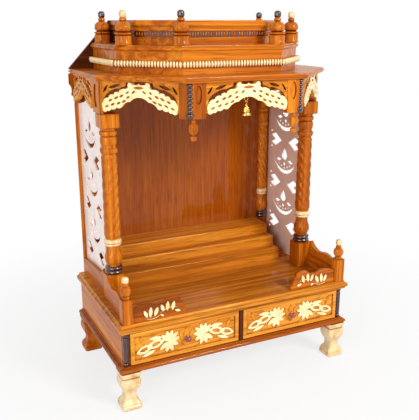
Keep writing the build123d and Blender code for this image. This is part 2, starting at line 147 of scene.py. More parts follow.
def wood(kind, grain, seed=0.0, gloss=0.25, figure=0.45):
    """Lacquered wood with its grain along one axis; figure is how strong the growth lines are."""
    name = f"lacquered_{kind}_{grain}_{int(seed * 10)}"
    if name in made_woods:
        return made_woods[name]
    dark, middle, light = WOODS[kind]
    material, tree = new_material(name)
    place = add(tree, "ShaderNodeTexCoord").outputs["Object"]
    grained = add(
        tree, "ShaderNodeMapping",
        Vector=place, Scale=GRAIN[grain], Location=(seed, 0.7 * seed, 0.4 * seed),
    )
    wobble = add(
        tree, "ShaderNodeTexNoise",
        Vector=grained, Scale=0.16 / BAND_WIDTH, Detail=2.0, Roughness=0.45,
    )
    bands = add(tree, "ShaderNodeMath", TIMES, _0=wobble, _1=6.0)
    folded = add(tree, "ShaderNodeMath", {"operation": "PINGPONG"}, _0=bands, _1=0.5)
    broad = add(tree, "ShaderNodeTexNoise", Vector=grained, Scale=0.04 / BAND_WIDTH, Detail=3.0)
    fibres = add(tree, "ShaderNodeTexNoise", Vector=grained, Scale=0.9 / FIBRE_WIDTH, Detail=2.0)
    pores = add(
        tree, "ShaderNodeTexNoise",
        Vector=grained, Scale=0.5 / PORE_WIDTH, Detail=2.0, Roughness=0.6,
    )
    tone = add(tree, "ShaderNodeMath", TIMES_PLUS, _0=folded, _1=figure, _2=0.09 - 0.25 * figure)
    for layer, share in ((broad, 0.5), (fibres, 0.3)):
        tone = add(tree, "ShaderNodeMath", TIMES_PLUS, _0=layer, _1=share, _2=tone)
    tones = {"stops": ((0.18, dark), (0.47, middle), (0.82, light))}
    colour = add(tree, "ShaderNodeValToRGB", tones, Fac=tone)
    pore_tones = {"stops": ((0.33, "8A6E5C"), (0.47, "FFFFFF"))}
    in_pores = add(tree, "ShaderNodeValToRGB", pore_tones, Fac=pores)
    mixed = add(tree, "ShaderNodeMix", MULTIPLIED, _0=0.55, _6=colour, _7=in_pores)
    bump = add(tree, "ShaderNodeBump", Strength=0.12, Distance=PORE_DEPTH, Height=pores)
    # Painted shade: the wood's colour is darkened in its creases and under its mouldings.
    finish_material(tree, add(
        tree, "ShaderNodeBsdfPrincipled",
        Base_Color=paint_crease_shade(
            tree, mixed.outputs[COLOUR_OUT], "96522A", WOOD_CREASE, own_mesh=True
        ),
        Roughness=0.38,
        Normal=bump,
        Specular_IOR_Level=0.15,
        Specular_Tint=linear("F2A050"),
        Coat_Weight=gloss,
        Coat_Roughness=LACQUER_ROUGHNESS,
        Coat_Tint=linear("FFEBC4"),
    ))
    made_woods[name] = material
    return material


print("woods:", ", ".join(WOODS))

# %% [markdown]
# The arches, front feet and sprays are gilded: pale gold paint, soft rather than mirror bright.
# The dark rings and balls are maroon lacquer, and the bell and its eye are polished brass. One
# flat colour would look like plastic, so all share one recipe: a cloudy tone, faint brush
# marks, and on the gilding painted shade in the creases.

# %% Gilding, lacquers and brass
PAINT_CREASE = 0.006
BRUSH_DEPTH = 0.0003
PAINT_GRIT = 0.006


def painted(name, code, shadow_code, rough=0.45, metallic=0.0, coat=0.2, crease_shade_code=""):
    """Paint with a slightly uneven tone, brush marks and, where asked, painted shade in creases."""
    material, tree = new_material(name)
    place = add(tree, "ShaderNodeTexCoord").outputs["Object"]
    cloud = add(tree, "ShaderNodeTexNoise", Vector=place, Scale=0.3 / PAINT_GRIT, Detail=4.0)
    tones = {"stops": ((0.25, shadow_code), (0.55, code))}
    colour = add(tree, "ShaderNodeValToRGB", tones, Fac=cloud).outputs["Color"]
    if crease_shade_code:
        # Painted shade: the paint turns darker in its creases.
        colour = paint_crease_shade(tree, colour, crease_shade_code, PAINT_CREASE)
    brush = add(tree, "ShaderNodeTexNoise", Vector=place, Scale=3.0 / PAINT_GRIT, Detail=2.0)
    bump = add(tree, "ShaderNodeBump", Strength=0.15, Distance=BRUSH_DEPTH, Height=brush)
    finish_material(tree, add(
        tree, "ShaderNodeBsdfPrincipled",
        Base_Color=colour,
        Roughness=rough,
        Metallic=metallic,
        Normal=bump,
        Coat_Weight=coat,
        Coat_Roughness=0.15,
    ))
    return material


# Painted shade: both gildings get a brown painted shade in their creases.
gilding = painted("gilding", "FAE6B0", "EED08C", rough=0.38, metallic=0.1, crease_shade_code="B06A2A")
foot_gilding = painted(
    "foot_gilding", "F0D49E", "CC9C58", rough=0.3, metallic=0.1, coat=0.6, crease_shade_code="A86A30"
)
maroon = painted("maroon_lacquer", "43130C", "24080A", rough=0.2, coat=1.0)
knob_red = painted("red_lacquer", "9C3A1E", "6E2210", rough=0.2, coat=1.0)
brass = painted("polished_brass", "E3C06A", "B98A35", rough=0.22, metallic=1.0, coat=0.0)
print("paints ready:", gilding.name, maroon.name, brass.name)

# %% [markdown]
# The boards that need no carving are shown as in the solid model. One wood could cover them
# all, but a joiner lays the grain along each board and no two boards match, so each gets its
# own direction and its own place in the grain.

# %% Finish of the plain boards
def both(*stems):
    """Left and right names of paired pieces."""
    return [f"{stem}_{side}" for stem in stems for side in ("left", "right")]


DRESSED = (
    (wood("honey_teak", "x", 1.3), ["stage_top"]),
    # Painted shade: the lower moulding and the back of the base take the darker, shaded teak.
    (wood("brown_teak", "x", 0.2), ["lower_moulding", "base_back"]),
    (wood("teak", "y", 0.4), both("base_side")),
    (wood("dark_teak", "z"), ["centre_divider"]),
    (wood("pale_board", "y"), ["drawer_runners"]),
    (wood("light_teak", "x", 3.0), both("drawer_front")),
    (wood("pale_board", "y", 0.5), both("drawer_box")),
    (knob_red, both("drawer_knob")),
    (wood("teak", "y", 2.6), both("gallery_side")),
    # Painted shade: the back panel takes the darker, shaded teak.
    (wood("brown_teak", "z", 0.8, gloss=0.45, figure=0.15), ["back_panel"]),
    (wood("teak", "z", 0.3), ["back_stiles"]),
    (wood("honey_teak", "x", 0.1), ["step_lower", "step_middle", "step_upper"]),
    (wood("teak", "x", 3.3), ["cornice", "roof_lower_tier", "roof_frieze"]),
    (wood("teak", "x", 4.0), ["roof_middle_tier", "roof_top_tier"]),
    # Partly painted shade: the back board's dark teak is its own dark stain and also the shade it
    # sits in.
    (wood("dark_teak", "x", 0.6), ["roof_back_board"]),
    (brass, ["bell", "bell_eye", "bell_clapper"]),
)
for material, names in DRESSED:
    for name in names:
        mesh = nodes[name].data
        mesh.materials.clear()
        mesh.materials.append(material)
print("dressed", sum(len(names) for _, names in DRESSED), "solid pieces")

# %% [markdown]
# Every place is counted from the middle (x), back from the front edge of the base (y) and up
# from the floor (z), in millimetres, as on a joiner's drawing. Blender counts in metres, so
# one function turns a place into Blender's, and one sets up a wall to lay carving on.

# %% Places and walls
BASE_FRONT = 0.167
BASE_DEPTH = 351.0


def at(x, y, z):
    """Point in metres from millimetres counted from the front edge of the base."""
    return Vector((x / 1000, y / 1000 - BASE_FRONT, z / 1000))


def wall(x, y, facing, z=0.0):
    """Frame of a wall: x along it, y up it and z out of it, facing an angle in degrees."""
    turn = math.radians(facing)
    outward = Vector((math.cos(turn), math.sin(turn), 0))
    up = Vector((0, 0, 1))
    axes = Matrix((up.cross(outward), up, outward)).transposed().to_4x4()
    return Matrix.Translation(at(x, y, z)) @ axes


def forward_of(place, distance):
    """The same wall, moved forward by millimetres."""
    return place @ Matrix.Translation((0, 0, distance / 1000))


print("front edge of the base at y =", -BASE_FRONT)

# %% [markdown]
# The carving is drawn the way a carver marks out a board: flat outlines of straight stretches
# and arcs. They could be traced point by point, but an arc between two corners needs one
# number, its bulge, and stays round at any size.

# %% Outlines
ARC_STEPS = 8


def bow(start, end, bulge, steps=ARC_STEPS):
    """Points from start up to, but not with, end on an arc that bows out to the right."""
    first, last = Vector(start), Vector(end)
    if abs(bulge) < 0.01:
        return [tuple(first)]
    chord = last - first
    half = chord.length / 2
    along = chord / (2 * half)
    side = Vector((along.y, -along.x)) * (1 if bulge > 0 else -1)
    angle = 2 * math.atan(abs(bulge) / half)
    radius = half / math.sin(angle)
    centre = (first + last) / 2 - side * radius * math.cos(angle)
    points = []
    for step in range(steps):
        swing = angle * (2 * step / steps - 1)
        points.append(tuple(centre + radius * (along * math.sin(swing) + side * math.cos(swing))))
    return points


def outline(*points):
    """Closed outline through (x, y) or (x, y, bulge); the first bulge closes it."""
    full = [(*point, 0.0)[:3] for point in points]
    line = []
    for (x0, y0, _), (x1, y1, bulge) in zip(full, full[1:] + full[:1]):
        line += bow((x0, y0), (x1, y1), bulge)
    return line


def mirrored_outline(*points):
    """Outline that is the same left and right: the points give its right half, top to bottom."""
    full = [(*point, 0.0)[:3] for point in points]
    bulges = [point[2] for point in full[1:]] + [0.0]
    left = [(-x, y, bulge) for (x, y, _), bulge in zip(full, bulges)][::-1]
    left = [point for point in left if point[0] < -0.001]
    full[0] = (full[0][0], full[0][1], full[1][2])
    return outline(*full, *left)


def leaf(start, end, left_bulge, right_bulge):
    """Leaf, petal or crescent between two tips."""
    return bow(start, end, left_bulge) + bow(end, start, right_bulge)


def oval(x, y, across, high, count=16):
    """Oval outline about a point."""
    turns = [2 * math.pi * number / count for number in range(count)]
    return [(x + across * math.cos(turn), y + high * math.sin(turn)) for turn in turns]


def moved(line, x, y, turn=0.0):
    """Outline turned by degrees about its origin and moved."""
    c, s = math.cos(math.radians(turn)), math.sin(math.radians(turn))
    return [(x + c * u - s * v, y + s * u + c * v) for u, v in line]


def both_ways(*lines):
    """Outlines and their mirror images across the middle line."""
    return [line for one in lines for line in (one, [(-u, v) for u, v in one])]


print("outlines can be drawn")

# %% [markdown]
# Frets, arches and sprays are thin boards sawn to an outline, with holes. Cutting holes in a
# solid board would leave untidy faces. A flat curve is filled round its holes by itself and
# gets its thickness and eased edge at once, so it is drawn as a curve and then made a mesh.

# %% Sawn boards
def sawn(shape, place, loops, depth, edge=0.0, lift=0.0):
    """Adds a flat board with holes to a shape: its back lies on the wall, lift in front of it."""
    curve = bpy.data.curves.new("marked_out", "CURVE")
    curve.dimensions = "2D"
    curve.fill_mode = "BOTH"
    curve.extrude = (depth / 2 - edge) / 1000
    curve.bevel_depth = edge / 1000
    curve.bevel_resolution = 1
    curve.offset = -edge / 1000
    for loop in loops:
        spline = curve.splines.new("POLY")
        spline.points.add(len(loop) - 1)
        for point, (u, v) in zip(spline.points, loop):
            point.co = (u / 1000, v / 1000, 0, 1)
        spline.use_cyclic_u = True
    holder = bpy.data.objects.new("marked_out", curve)
    bpy.context.scene.collection.objects.link(holder)
    view = bpy.context.evaluated_depsgraph_get()
    mesh = bpy.data.meshes.new_from_object(holder.evaluated_get(view))
    mesh.transform(forward_of(place, depth / 2 + lift))
    shape.from_mesh(mesh)
    bpy.data.objects.remove(holder)
    bpy.data.curves.remove(curve)
    bpy.data.meshes.remove(mesh)


print("boards can be sawn")

# %% [markdown]
# Columns, balls and finials come off a lathe. Blender's spin does the same: the outline of one
# side goes round an upright axis. A primitive could be pushed into shape, but the outline
# holds every ring exactly. Where a shaft is carved, its points are drawn in afterwards, as a
# chisel would.

# %% Turned pieces
LATHE_ARC_STEPS = 6


def lathe_line(profile, rows):
    """Points of a lathe outline; a straight stretch is cut into rows for carving."""
    full = [(*point, 0.0)[:3] for point in profile]
    line = []
    for (r0, z0, _), (r1, z1, bulge) in zip(full, full[1:]):
        line += bow((r0, z0), (r1, z1), bulge, LATHE_ARC_STEPS) if bulge else [
            (r0 + (r1 - r0) * row / rows, z0 + (z1 - z0) * row / rows) for row in range(rows)
        ]
    return line + [full[-1][:2]]


TINY = 1e-5


def turned(shape, x, y, profile, segments=28, carve=None, rows=1, half=False):
    """Adds a lathe piece: the profile lists (radius, z) or (radius, z, bulge) up its outside."""
    line = lathe_line(profile, rows)
    axis = at(x, y, 0)
    before = set(shape.verts)
    side = -1 if half else 1
    chain = [shape.verts.new(at(x + side * radius, y, z)) for radius, z in line]
    edges = [shape.edges.new(pair) for pair in zip(chain, chain[1:])]
    bmesh.ops.spin(
        shape, geom=chain + edges, cent=axis, axis=(0, 0, 1),
        angle=math.pi if half else 2 * math.pi, steps=segments // 2 if half else segments,
        use_merge=not half,
    )
    skin = [vert for vert in shape.verts if vert not in before]
    for radius, z in (line[0], line[-1]):
        rim = [
            vert for vert in skin
            if abs(vert.co.z - z / 1000) < TINY
            and abs((vert.co - axis).xy.length - radius / 1000) < TINY
        ]
        rim.sort(key=lambda vert: math.atan2(vert.co.x - axis.x, axis.y - vert.co.y))
        shape.faces.new(rim)
    if carve:
        for vert in skin:
            arm = Vector((vert.co.x - axis.x, vert.co.y - axis.y, 0))
            depth = carve(math.atan2(arm.y, arm.x), vert.co.z * 1000)
            vert.co -= arm.normalized() * depth / 1000


print("the lathe is ready")

# %% [markdown]
# Blocks, posts and feet grow from a flat plan. A scaled cube would do for a block, but not for
# a post with seven corners or a foot that swells and narrows. So one function pushes a plan up
# from level to level, and one makes a straight post with a fine rebate along its edges.

# %% Posts, blocks and feet
def raised(shape, centre, plan, levels):
    """Pushes a plan of (x, y) corners about a centre up through levels of (size, z)."""
    x, y = centre
    (size, z), *upper = levels
    top = shape.faces.new([shape.verts.new(at(x + size * u, y + size * v, z)) for u, v in plan])
    to_centre = Matrix.Translation(-at(x, y, 0))
    for number, (next_size, next_z) in enumerate(upper):
        grown = bmesh.ops.extrude_face_region(shape, geom=[top])["geom"]
        if number:
            bmesh.ops.delete(shape, geom=[top], context="FACES_ONLY")
        top = next(item for item in grown if isinstance(item, bmesh.types.BMFace))
        wider = next_size / size
        corners = list(top.verts)
        bmesh.ops.scale(shape, vec=(wider, wider, 1), space=to_centre, verts=corners)
        bmesh.ops.translate(shape, vec=(0, 0, (next_z - z) / 1000), verts=corners)
        size, z = next_size, next_z


def prism(shape, plan, low, high, edge=0.0):
    """Adds an upright board or post, a fine rebate along its edges."""
    floor = [shape.verts.new(at(x, y, low)) for x, y in plan]
    roof = [shape.verts.new(at(x, y, high)) for x, y in plan]
    faces = [shape.faces.new(floor[::-1]), shape.faces.new(roof)]
    for number, corner in enumerate(floor):
        after = (number + 1) % len(plan)
        faces.append(shape.faces.new((corner, floor[after], roof[after], roof[number])))
    if edge:
        edges = list({line for face in faces for line in face.edges})
        bmesh.ops.bevel(
            shape, geom=edges, offset=edge / 1000, segments=2, affect="EDGES",
            clamp_overlap=True, material=-1,
        )


def brick(shape, x_span, y_span, z_span, edge=1.0):
    """Adds a box between two places on each axis."""
    (x0, x1), (y0, y1) = x_span, y_span
    prism(shape, ((x0, y0), (x1, y0), (x1, y1), (x0, y1)), *z_span, edge)


print("posts and blocks can be raised")

# %% [markdown]
# A finished shape becomes a piece: a mesh with one finish, tied to the part of the temple that
# it moves with, so a spray on a drawer slides out with it. Most pieces come in pairs. The left
# one could be drawn again, but a mirror image of the right one can't differ by mistake.

# %% Pieces and pairs
SHARP_ANGLE = math.radians(32)


def piece(name, shape, material, body="cabinet", instead_of=()):
    """Turns a finished shape into a piece that rides on a body."""
    mesh = bpy.data.meshes.new(name)
    bmesh.ops.recalc_face_normals(shape, faces=shape.faces)
    shape.to_mesh(mesh)
    mesh.materials.clear()
    mesh.materials.append(material)
    mesh.polygons.foreach_set("material_index", [0] * len(mesh.polygons))
    mesh.polygons.foreach_set("use_smooth", [True] * len(mesh.polygons))
    mesh.set_sharp_from_angle(angle=SHARP_ANGLE)
    item = bpy.data.objects.new(name, mesh)
    bpy.context.scene.collection.objects.link(item)
    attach(item, body)
    if instead_of:
        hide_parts(*instead_of)
    return item


def make_pair(name, draw, material, bodies=("cabinet", "cabinet"), instead_of=""):
    """Makes the right-hand piece that draw adds to a shape, and its mirror image."""
    for side, body, flip in (("right", bodies[1], False), ("left", bodies[0], True)):
        shape = bmesh.new()
        draw(shape)
        if flip:
            bmesh.ops.scale(shape, vec=(-1, 1, 1), verts=shape.verts)
        stood_for = (f"{instead_of}_{side}",) if instead_of else ()
        piece(f"{name}_{side}", shape, material, body, stood_for)
        shape.free()


def make_one(name, draw, material, body="cabinet", instead_of=()):
    """Makes one piece that draw adds to a shape."""
    shape = bmesh.new()
    draw(shape)
    piece(name, shape, material, body, instead_of)
    shape.free()


def twice(draw):
    """Drawing of a shape and its mirror image in one piece."""
    def both_of(shape):
        draw(shape)
        whole = shape.verts[:] + shape.edges[:] + shape.faces[:]
        bmesh.ops.mirror(shape, geom=whole, merge_dist=0.0, axis="X")
    return both_of


print("pieces can be made")

# %% [markdown]
# The two front columns stand on square blocks. Above a dark ring and a vase comes a gilt ring,
# then the long shaft with its grooves winding up like rope, and rings again under the capital.
# Against the back panel the same column is only a slim half. The grooves could be a pattern
# in the finish, but only real ones catch the light along the edge of the shaft, so the shaft
# is turned with many rows and its points are drawn in.

# %% Columns
STAGE = 207.0
CANOPY = 714.0
COLUMN = (259.0, 155.0)
HALF_COLUMN = (246.0, 346.0)
BLOCK = 42.0
SHAFT = 19.5
HALF_SHAFT = 15.0
BLOCK_TOP = 272.0
STEP_TOP = 290.0
SHAFT_TOP = 611.0
CAPITAL_TOP = 642.0
ROPE_STARTS = 6
ROPE_PITCH = 150.0
ROPE_DEPTH = 3.0
ROPE_FADE = 6.0
ROPE_START = 98.0
ROPE_END = 66.0
HOOD_POST = ((-3, 143), (-3, 189), (-16, 189), (-16, 150), (-18, 148), (-6, 136), (-5, 137))
CHEEK = 3.0
CHEEK_MIDDLE = 166.5
CHEEK_SPAN = (-23.5, 24.5)


def rope(low, high):
    """Depth of the winding grooves at an angle and a height, fading out at both ends."""
    def depth(angle, z):
        if not low < z < high:
            return 0.0
        fade = min(1.0, (z - low) / ROPE_FADE, (high - z) / ROPE_FADE)
        phase = ROPE_STARTS * (angle / 2 + math.pi * z / ROPE_PITCH)
        return fade * ROPE_DEPTH * (1 - abs(math.sin(phase)))
    return depth


def shaft_profile(r, low, high):
    """Outside of a column from its foot rings to the rings on top."""
    u = r / 20
    return {
        "vase": (
            (r - 4 * u, low + 17), (r - 5 * u, low + 22), (r, low + 45, 3 * u),
            (r - 4 * u, low + 66, -1.4 * u), (r - 3 * u, low + 70),
        ),
        "shaft": (
            (r - 3 * u, low + 84), (r - 2.5 * u, low + 88), (r - 0.5 * u, low + 98, 0.6 * u),
            (r - 1.5 * u, high - 66), (r - 4 * u, high - 58, -0.8 * u), (r, high - 50, 1.4 * u),
            (r - 3 * u, high - 44, 1.4 * u), (r - 4 * u, high - 40), (r - u, high - 26, 1.2 * u),
            (r - 4 * u, high - 18, 0.8 * u), (r, high - 12, 1.4 * u),
            (r - 3 * u, high - 6, 1.4 * u), (r - 2 * u, high),
        ),
        "dark": (
            (r - 4 * u, low), (r, low + 3, u), (r + u, low + 7, u), (r - 2 * u, low + 10, 0.5),
            (r - 2 * u, low + 11), (r + 0.5 * u, low + 17, 2 * u), (r - 4 * u, low + 20, 0.6 * u),
        ),
        "gilt": (
            (r - 4 * u, low + 68), (r - u, low + 70, 0.6 * u), (r - u, low + 74, 1.2 * u),
            (r - 1.5 * u, low + 75), (r + 0.4 * u, low + 80, 1.6 * u),
            (r - 2 * u, low + 84, 0.8 * u), (r - 4 * u, low + 86),
        ),
    }


def front_column(shape):
    """Blocks, vase, carved shaft and the hood's corner post on top."""
    x, y = COLUMN
    half = BLOCK / 2
    x_span, y_span = (x - half, x + half), (y - half, y + half)
    brick(shape, x_span, y_span, (STAGE, BLOCK_TOP), 1.5)
    brick(shape, x_span, y_span, (SHAFT_TOP, CAPITAL_TOP), 1.5)
    parts = shaft_profile(SHAFT, BLOCK_TOP, SHAFT_TOP)
    turned(shape, x, y, parts["vase"], 40)
    grooves = rope(BLOCK_TOP + ROPE_START, SHAFT_TOP - ROPE_END)
    turned(shape, x, y, parts["shaft"], 84, grooves, rows=30)
    face = x + half
    prism(shape, [(face + u, v) for u, v in HOOD_POST], CAPITAL_TOP, CANOPY, 0.8)
    rise = CANOPY - CAPITAL_TOP
    recess = oval(0, CAPITAL_TOP + 0.52 * rise, 13, 0.36 * rise, 28)
    near, far = CHEEK_SPAN
    cheek = outline((near, CAPITAL_TOP), (far, CAPITAL_TOP), (far, CANOPY), (near, CANOPY))
    sawn(shape, wall(face - CHEEK, CHEEK_MIDDLE, 0), [cheek, recess], CHEEK, 0.5)


def ring_of(kind, place, r, low, high, half=False):
    """Drawing of one coloured ring of a column."""
    def draw(shape):
        turned(shape, *place, shaft_profile(r, low, high)[kind], 40, half=half)
    return draw


def half_column(shape):
    """Half column on the back panel, with its square head."""
    x, y = HALF_COLUMN
    parts = shaft_profile(HALF_SHAFT, STEP_TOP, SHAFT_TOP)
    turned(shape, x, y, parts["vase"], 40, half=True)
    grooves = rope(STEP_TOP + ROPE_START, SHAFT_TOP - ROPE_END)
    turned(shape, x, y, parts["shaft"], 84, grooves, rows=30, half=True)
    r = HALF_SHAFT
    brick(shape, (x - r, x + r), (y - r, y), (SHAFT_TOP, CANOPY))


column_wood = wood("teak", "z", 0.9)
make_pair("front_column", front_column, column_wood, instead_of="column_front")
make_pair("half_column", half_column, column_wood, instead_of="column_back")
front_rings = (COLUMN, SHAFT, BLOCK_TOP, SHAFT_TOP)
half_rings = (HALF_COLUMN, HALF_SHAFT, STEP_TOP, SHAFT_TOP, True)
for kind, paint, slot in (("dark", maroon, "maroon_wood"), ("gilt", foot_gilding, "gilded_wood")):
    make_pair(f"front_column_{kind}_ring", ring_of(kind, *front_rings), paint)
    make_pair(f"half_column_{kind}_ring", ring_of(kind, *half_rings), paint)
print("columns carved")

# %% [markdown]
# The side screens are thin boards pierced with rows of oil lamps: a crescent bowl, its flame,
# hearts and dots, and two buds between one lamp and the next. A rail stands outside them. A
# see-through picture of the lamps would be lighter, but its holes would show no thickness and
# no shadow, so they are cut.

# %% Pierced side screens
FACE = 280.0
SCREEN_INSET = 8.5
SCREEN_DEPTH = 4.5
SCREEN_SPAN = (177.0, 346.0)
FIRST_LAMP = 108.0
LAMP_PITCH = 117.0
LAMPS = 3
HEAD_FRONT, HEAD_PEAK, HEAD_BACK = 640.0, 662.0, 644.0
RAIL_FRONT, RAIL_BACK = 70.0, 38.0
SIDE_SHARPNESS = 2.0


def lamp_holes(x, z):
    """Holes of one lamp about the bottom of its bowl, with the buds under it."""
    holes = [
        leaf((-54, 37), (54, 37), 37.0, -27.0),
        outline((0, 38, 3.0), (13, 51, 3.0), (0, 71, 1.0), (-13, 51, 1.0)),
        oval(0, 27, 5.0, 5.0), oval(0, 16, 3.4, 3.4),
    ]
    holes += both_ways(
        oval(14, 20, 3.6, 3.6), oval(26, 25, 3.0, 3.0),
        outline((28, 31), (42, 35), (28, 41), (15, 38)),
        moved(outline((17, 0), (47, -18), (69, -10), (50, 0), (69, 10), (47, 18)), 0, -28),
        oval(67, -7, 4.0, 4.0), oval(67, -49, 4.0, 4.0),
    )
    return [moved(hole, x, z) for hole in holes]


def screen_board(shape):
    """Board with three lamps one above another."""
    low, high = SCREEN_SPAN
    middle = (low + high) / 2
    reach = (high - low) / 2
    loops = [outline(
        (-reach, STAGE), (reach, STAGE),
        (reach, HEAD_BACK), (0, HEAD_PEAK, -3), (-reach, HEAD_FRONT, -3),
    )]
    for row in range(LAMPS):
        loops += lamp_holes(0, STAGE + FIRST_LAMP + row * LAMP_PITCH)
    depth = SCREEN_INSET + SCREEN_DEPTH
    sawn(shape, wall(FACE - depth, middle, 0), loops, SCREEN_DEPTH, 0.4)


def screen_rail(shape):
    """Low rail outside a screen, rising to the column in front."""
    low, high = SCREEN_SPAN[0] - 0.5, SCREEN_SPAN[1]
    middle = (low + high) / 2
    reach = (high - low) / 2
    line = outline(
        (-reach, STAGE), (reach, STAGE), (reach, STAGE + RAIL_BACK),
        (reach - 45, STAGE + 46, 1.5), (30 - reach, STAGE + 52, 1.5),
        (-reach, STAGE + RAIL_FRONT, -4),
    )
    sawn(shape, wall(FACE - SCREEN_INSET, middle, 0), [line], SCREEN_INSET, 0.8)


def screen_enamel_painted_light():
    """Pink-white enamel with painted light: paler on faces that look away from the middle of the
    temple.
    """
    material, tree = new_material("screen_enamel_painted_light")
    place = add(tree, "ShaderNodeTexCoord").outputs
    spot = add(tree, "ShaderNodeSeparateXYZ", Vector=place["Object"])
    facing = add(tree, "ShaderNodeSeparateXYZ", Vector=place["Normal"])
    outward = add(tree, "ShaderNodeMath", TIMES, _0=spot, _1=facing)
    outside = add(tree, "ShaderNodeMath", TIMES_PLUS, _0=outward, _1=SIDE_SHARPNESS, _2=0.5)
    # Painted light and shade: outward faces get the lit tone, inward faces a shaded copy of it.
    lit_and_shaded_tones = {"stops": ((0.3, "E9CDBE"), (0.6, "FCEDE7"))}
    pink = add(tree, "ShaderNodeValToRGB", lit_and_shaded_tones, Fac=outside)
    cloud = add(tree, "ShaderNodeTexNoise", Vector=place["Object"], Scale=22.0, Detail=3.0)
    dust = add(tree, "ShaderNodeValToRGB", {"stops": ((0.3, "C8B4A8"), (0.6, "FFFFFF"))}, Fac=cloud)
    tinted = add(tree, "ShaderNodeMix", MULTIPLIED, _0=0.25, _6=pink, _7=dust)
    finish_material(tree, add(
        tree, "ShaderNodeBsdfPrincipled",
        Base_Color=tinted.outputs[COLOUR_OUT], Roughness=0.35, Coat_Weight=0.3,
    ))
    return material


make_pair("lamp_screen", screen_board, screen_enamel_painted_light(), instead_of="screen")
side_wood = wood("teak", "y", 2.6)
make_pair("lamp_screen_rail", screen_rail, side_wood, instead_of="screen_rail")
print("screens pierced")

# %% [markdown]
# Each open bay of the canopy has a fret board with scroll gaps and, over it, the gilded arch:
# a peak in the middle with two horns, and leaves sweeping down to the posts. The bays differ
# in width, so the outlines are shares of half a bay and the same drawing fits them all.

# %% Frets and gilded arches
FRET_DROP = 62.5
FRET_DEPTH = 9.0
ARCH_DEPTH = 3.6
SLOT_SLANT = -28.0


def arch_edge(half):
    """Scalloped underside of an arch from its end to its middle."""
    rows = (
        (0.0, 33.0, 0.0), (0.02, 33.0, 0.0), (0.24, 42.0, -2.0), (0.46, 52.5, -2.5),
        (0.60, 54.5, 3.0), (0.75, 58.0, 3.0), (0.86, 62.0, 2.5), (0.97, 62.5, 3.0),
    )
    points = [(share * half, CANOPY - drop) for share, drop, _ in rows]
    bulges = [0.0] + [-bulge for _, _, bulge in rows[:0:-1]]
    return [(*point, bulge) for point, bulge in zip(points[::-1], bulges)]


def leaf_slots(half):
    """Slots between the leaves of an arch band, on one side."""
    rows = (
        (0.40, 41.5, 11.0), (0.54, 45.5, 10.5), (0.70, 48.5, 10.5), (0.86, 53.0, 9.5),
        (0.60, 34.5, 11.0), (0.76, 40.0, 10.0), (0.46, 30.5, 11.0), (0.29, 33.0, 10.0),
        (0.30, 23.0, 9.0),
    )
    slit = leaf((-1, 0), (1, 0), 0.42, 0.42)
    return [
        moved([(u * long / 2, v * long / 2) for u, v in slit],
              share * half, CANOPY - drop, SLOT_SLANT)
        for share, drop, long in rows
    ]


def arch_band(shape, place, half):
    """Gilded arch of one bay."""
    z = CANOPY
    upper = (
        (0.0, z - 4.0), (0.08 * half, z - 7.0, 1.0), (0.15 * half, z - 6.5),
        (0.19 * half, z - 3.0, 1.0), (0.27 * half, z - 3.0, -1.5), (0.28 * half, z - 12.0, -1.5),
        (0.36 * half, z - 15.5, 1.0), (0.53 * half, z - 21.0, -2.0), (0.52 * half, z - 24.0, 0.5),
        (0.66 * half, z - 25.5, -2.5), (0.67 * half, z - 28.5, 0.6), (0.80 * half, z - 32.0, -2.5),
        (0.82 * half, z - 35.0, 0.6), (0.95 * half, z - 43.0, -3.0), (0.99 * half, z - 52.0, -1.5),
    )
    band = mirrored_outline(*upper, *arch_edge(half))
    lens = leaf((-0.13 * half, z - 13), (0.13 * half, z - 13), 3.0, 3.0)
    drop_holes = both_ways(moved(leaf((-5, 0), (5, 0), 2.0, 2.0), 0.14 * half, z - 22, -35))
    loops = [band, lens, *drop_holes, *both_ways(*leaf_slots(half))]
    sawn(shape, place, loops, ARCH_DEPTH, 0.9)


def fret_board(shape, place, half):
    """Fret board of one bay behind its arch."""
    z = CANOPY
    board = mirrored_outline((0.0, z - 8), (0.14 * half, z - 8), (0.15 * half, z),
                             (half, z), (half, z - FRET_DROP), *arch_edge(half))
    gap = outline(
        (0.28 * half, z - 3), (0.35 * half, z - 3), (0.38 * half, z - 11, 0.8),
        (0.52 * half, z - 16, -1.0), (0.74 * half, z - 20, -2.0), (0.90 * half, z - 30, -1.0),
        (0.95 * half, z - 42, -1.0), (0.80 * half, z - 33.5, 1.0), (0.55 * half, z - 23.5, 1.0),
        (0.33 * half, z - 17, 1.0),
    )
    vein = moved(leaf((-14, 0), (14, 0), 3.4, 3.0), 0.66 * half, z - 11, -16)
    nick = moved(leaf((-10, 0), (10, 0), 2.8, 2.2), 0.91 * half, z - 17, -55)
    sawn(shape, place, [board, *both_ways(gap, vein, nick)], FRET_DEPTH, 0.6)


FRONT_BAY = (97.5, wall(0, 4, -90))
CORNER_BAY = (87.0, wall(206.7, 79.5, -45))
SIDE_BAY = (77.0, wall(FACE - 6, 268.5, 0))
FRET_LIFT = -3.0
SIDE_ARCH_LIFT = 5.9
fret_wood = wood("light_teak", "x", 0.2)
side_fret_wood = wood("light_teak", "y", 0.6)


def on(bay, draw, lift=0.0):
    """Drawing of a fret or an arch in one bay."""
    half, place = bay
    return lambda shape: draw(shape, forward_of(place, lift), half)


make_one("front_fret", on(FRONT_BAY, fret_board), fret_wood,
         instead_of=("fret_front",))
make_one("front_arch", on(FRONT_BAY, arch_band, FRET_DEPTH), gilding,
         instead_of=("arch_front",))
make_pair("corner_fret", on(CORNER_BAY, fret_board), fret_wood,
          instead_of="fret_corner")
make_pair("corner_arch", on(CORNER_BAY, arch_band, FRET_DEPTH), gilding,
          instead_of="arch_corner")
make_pair("side_bay_fret", on(SIDE_BAY, fret_board, FRET_LIFT), side_fret_wood,
          instead_of="side_fret")
make_pair("side_bay_arch", on(SIDE_BAY, arch_band, SIDE_ARCH_LIFT), side_fret_wood)
print("arches gilded")

